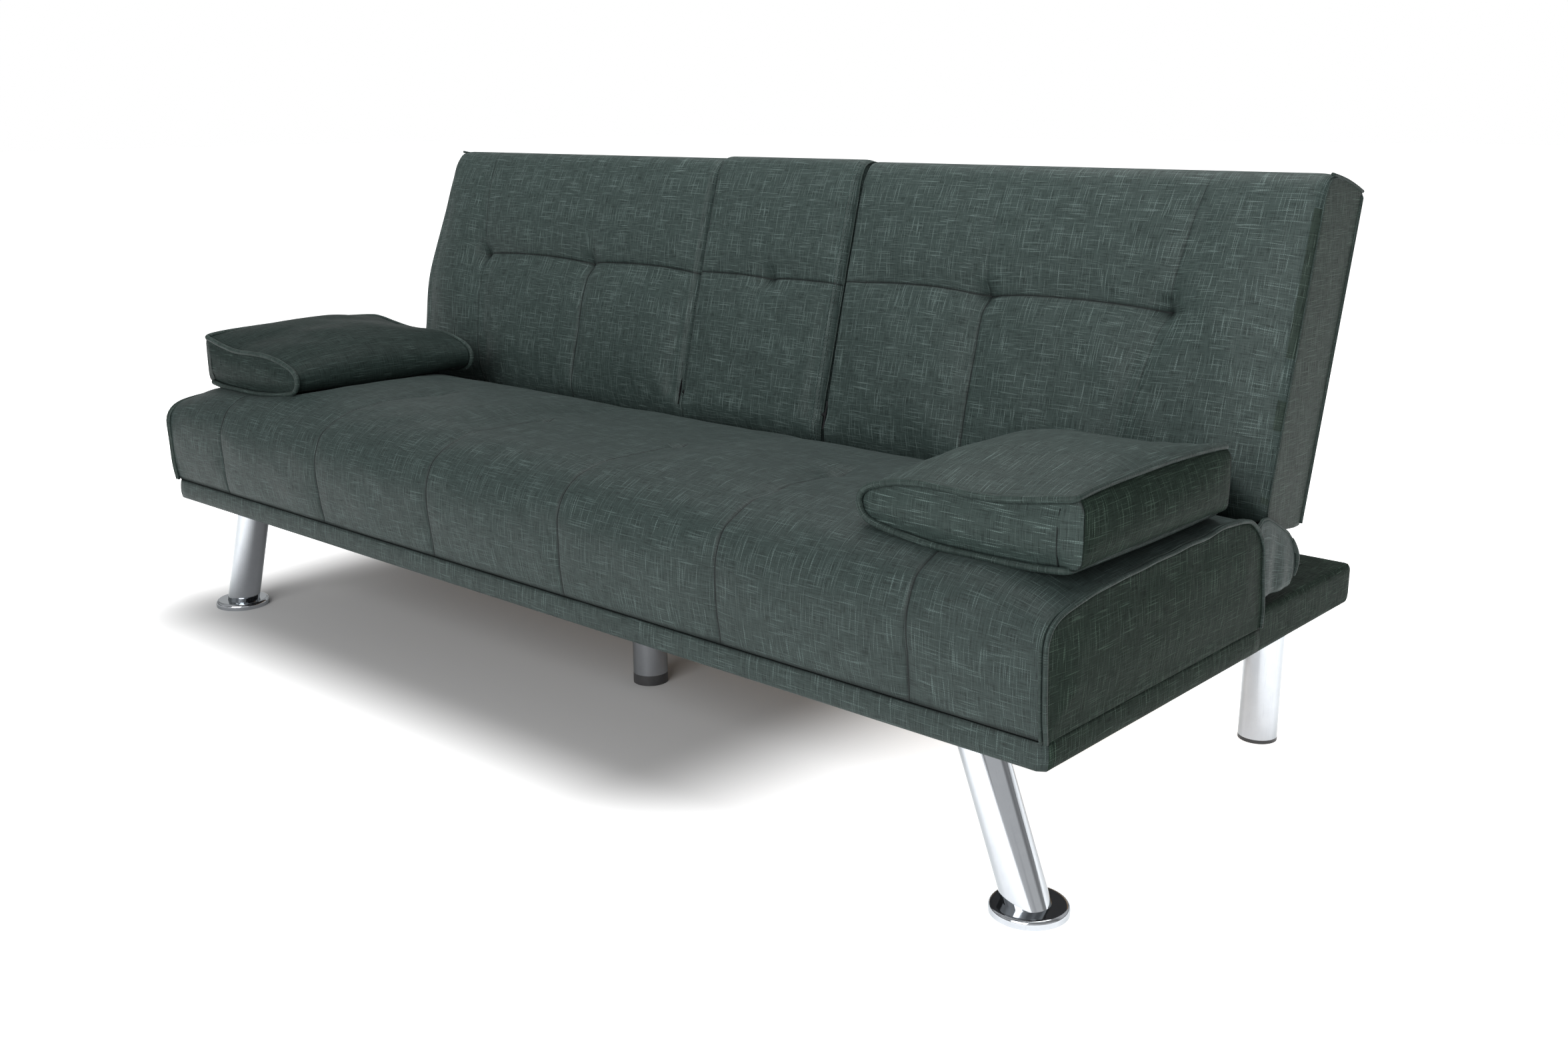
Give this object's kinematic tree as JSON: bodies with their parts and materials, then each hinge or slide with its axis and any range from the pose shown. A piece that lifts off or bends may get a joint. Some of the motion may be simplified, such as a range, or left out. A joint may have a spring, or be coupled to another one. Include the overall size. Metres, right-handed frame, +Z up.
{
  "type": "futon sofa bed",
  "caption": "Upholstered click-clack sofa bed with a reclining back, a fold-down centre console with cup holders, loose arm pillows and tube legs.",
  "frame": {"origin": "on the floor, at the middle of the box that the whole sofa fills at rest", "axes": "+X along the seat, to the right as seen from in front; +Y towards the rear; +Z up"},
  "size_m": [1.692, 0.7343, 0.735],
  "materials": {
    "upholstery": "woven linen look",
    "foam": "matte",
    "dust_cloth": "matte",
    "wood_frame": "matte",
    "plywood": "matte",
    "spring_wire": "satin",
    "zinc_steel": "satin",
    "chrome_plate": "polished",
    "black_plastic": "satin",
    "cup_plastic": "satin"
  },
  "bodies": {
    "base": {"seat_rail_front": "wood_frame", "seat_rail_rear": "wood_frame", "seat_rail_left": "wood_frame", "seat_rail_right": "wood_frame", "seat_centre_beam": "wood_frame", "leg_blocks": "wood_frame", "seat_springs": "spring_wire", "spring_clips": "zinc_steel", "seat_foam": "foam", "seat_cover": "upholstery", "seat_band": "upholstery", "dust_cover": "dust_cloth", "deck_rail_rear": "wood_frame", "deck_rail_left": "wood_frame", "deck_rail_right": "wood_frame", "deck_panel": "plywood", "deck_cover": "upholstery", "front_leg_left": "chrome_plate", "front_leg_right": "chrome_plate", "front_foot_left": "chrome_plate", "front_foot_right": "chrome_plate", "rear_leg_left": "chrome_plate", "rear_leg_right": "chrome_plate", "rear_leg_caps": "black_plastic", "middle_leg": "chrome_plate", "middle_leg_cap": "black_plastic", "leg_plates": "zinc_steel", "leg_screws": "zinc_steel", "frame_bolts": "zinc_steel", "hinge_base_arm_left": "zinc_steel", "hinge_base_arm_right": "zinc_steel", "hinge_pivot_bolts": "zinc_steel", "hinge_flap_left": "upholstery", "hinge_flap_right": "upholstery"},
    "backrest": {"back_rail_top": "wood_frame", "back_rail_bottom": "wood_frame", "back_stile_left": "wood_frame", "back_stile_right": "wood_frame", "back_inner_stiles": "wood_frame", "back_panel": "plywood", "back_rear_cover": "upholstery", "back_foam_left": "foam", "back_foam_right": "foam", "back_cover_left": "upholstery", "back_cover_right": "upholstery", "recess_lining": "upholstery", "hinge_back_arm_left": "zinc_steel", "hinge_back_arm_right": "zinc_steel", "hinge_ratchets": "zinc_steel", "console_brackets": "zinc_steel"},
    "console": {"console_rail": "wood_frame", "console_board": "plywood", "console_foam": "foam", "console_cover": "upholstery", "cup_holder_left": "cup_plastic", "cup_holder_right": "cup_plastic", "console_pins": "zinc_steel"},
    "arm_pillow_left": {"arm_pillow_left": "upholstery"},
    "arm_pillow_right": {"arm_pillow_right": "upholstery"}
  },
  "joints": [
    {"name": "backrest_recline", "type": "hinge", "parent": "base", "child": "backrest", "pos_m": [0, 0.15437, 0.34104], "axis": [-1, 0, 0], "range_deg": [0, 75.6]},
    {"name": "console_fold", "type": "hinge", "parent": "backrest", "child": "console", "pos_m": [0, 0.1367, 0.37675], "axis": [1, 0, 0], "range_deg": [0, 99.5]},
    {"name": "arm_pillow_left_lift", "type": "slide", "parent": "base", "child": "arm_pillow_left", "axis": [0, 0, 1], "range_m": [0, 0.25]},
    {"name": "arm_pillow_right_lift", "type": "slide", "parent": "base", "child": "arm_pillow_right", "axis": [0, 0, 1], "range_m": [0, 0.25]}
  ]
}
